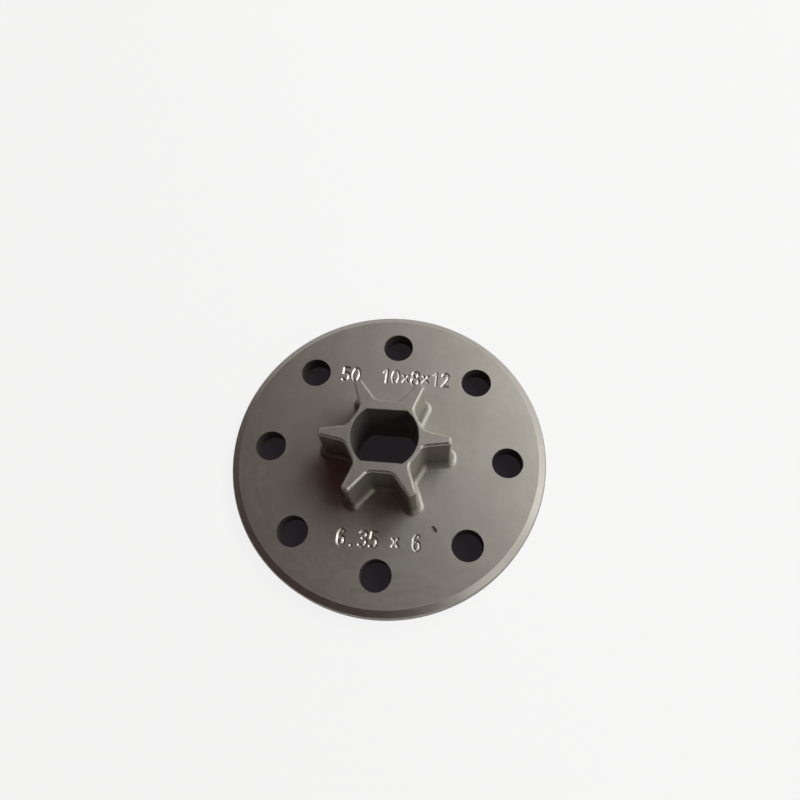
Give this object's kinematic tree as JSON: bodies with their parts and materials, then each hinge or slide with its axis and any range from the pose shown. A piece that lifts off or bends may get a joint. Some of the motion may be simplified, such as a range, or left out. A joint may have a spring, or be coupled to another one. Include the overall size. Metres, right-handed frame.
{
  "type": "chainsaw sprocket",
  "caption": "Toothed chain sprocket: a star on a round drilled flange, with a double-D spindle bore, that drives the saw chain of a small chainsaw.",
  "frame": {"origin": "on the spindle axis, at the back face of the flange", "axes": "+Z along the spindle axis, from the flange's back face to the free end of the star; +X through the tip of one tooth and the centre of one flange hole; the flats of the bore face +Y and -Y"},
  "size_m": [0.05, 0.05, 0.012],
  "materials": {
    "steel": "satin"
  },
  "bodies": {
    "root": {"sprocket": "steel"}
  },
  "joints": []
}
